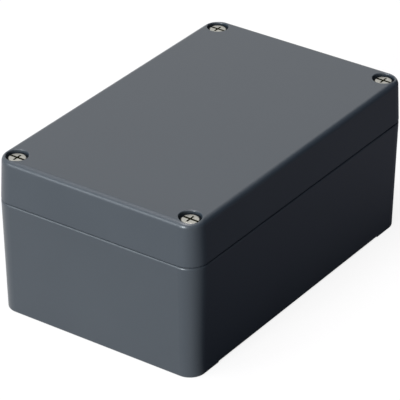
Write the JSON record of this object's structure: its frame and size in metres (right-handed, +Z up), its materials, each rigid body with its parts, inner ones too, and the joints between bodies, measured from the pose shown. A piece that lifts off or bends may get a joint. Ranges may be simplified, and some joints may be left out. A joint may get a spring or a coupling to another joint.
{
  "type": "die cast aluminium box",
  "caption": "Sealed die cast aluminium enclosure with a screwed lid, captive lid screws and wall fixing holes under the lid",
  "frame": {"origin": "middle of the underside, on the plane that the feet stand on", "axes": "+X along the long side towards the earth terminal, +Y along the short side, +Z up through the lid"},
  "size_m": [0.125, 0.08, 0.0568],
  "materials": {
    "casting": "satin",
    "seal": "matte",
    "stainless": "satin",
    "ring_plastic": "matte",
    "plated_steel": "satin"
  },
  "bodies": {
    "housing": {"base": "casting", "lid": "casting", "gasket": "seal", "earth_screw": "plated_steel", "earth_lock_washer": "plated_steel", "earth_clamp_washer": "plated_steel"},
    "ring_1": {"screw_ring_1": "ring_plastic"},
    "screw_1": {"lid_screw_1": "stainless"},
    "ring_2": {"screw_ring_2": "ring_plastic"},
    "screw_2": {"lid_screw_2": "stainless"},
    "ring_3": {"screw_ring_3": "ring_plastic"},
    "screw_3": {"lid_screw_3": "stainless"},
    "ring_4": {"screw_ring_4": "ring_plastic"},
    "screw_4": {"lid_screw_4": "stainless"}
  },
  "joints": [
    {"name": "screw_1_lift", "type": "slide", "parent": "housing", "child": "ring_1", "axis": [0, 0, 1], "range_m": [0, 0.0077]},
    {"name": "screw_1_turn", "type": "hinge", "parent": "ring_1", "child": "screw_1", "pos_m": [0.0565, 0.034, 0.0418], "axis": [0, 0, 1], "range_deg": [0, 3960]},
    {"name": "screw_2_lift", "type": "slide", "parent": "housing", "child": "ring_2", "axis": [0, 0, 1], "range_m": [0, 0.0077]},
    {"name": "screw_2_turn", "type": "hinge", "parent": "ring_2", "child": "screw_2", "pos_m": [-0.0565, 0.034, 0.0418], "axis": [0, 0, 1], "range_deg": [0, 3960]},
    {"name": "screw_3_lift", "type": "slide", "parent": "housing", "child": "ring_3", "axis": [0, 0, 1], "range_m": [0, 0.0077]},
    {"name": "screw_3_turn", "type": "hinge", "parent": "ring_3", "child": "screw_3", "pos_m": [-0.0565, -0.034, 0.0418], "axis": [0, 0, 1], "range_deg": [0, 3960]},
    {"name": "screw_4_lift", "type": "slide", "parent": "housing", "child": "ring_4", "axis": [0, 0, 1], "range_m": [0, 0.0077]},
    {"name": "screw_4_turn", "type": "hinge", "parent": "ring_4", "child": "screw_4", "pos_m": [0.0565, -0.034, 0.0418], "axis": [0, 0, 1], "range_deg": [0, 3960]}
  ],
  "couplings": [
    {"joint": "screw_1_turn", "follows": "screw_1_lift", "rad_per_m": 8976},
    {"joint": "screw_2_turn", "follows": "screw_2_lift", "rad_per_m": 8976},
    {"joint": "screw_3_turn", "follows": "screw_3_lift", "rad_per_m": 8976},
    {"joint": "screw_4_turn", "follows": "screw_4_lift", "rad_per_m": 8976}
  ]
}
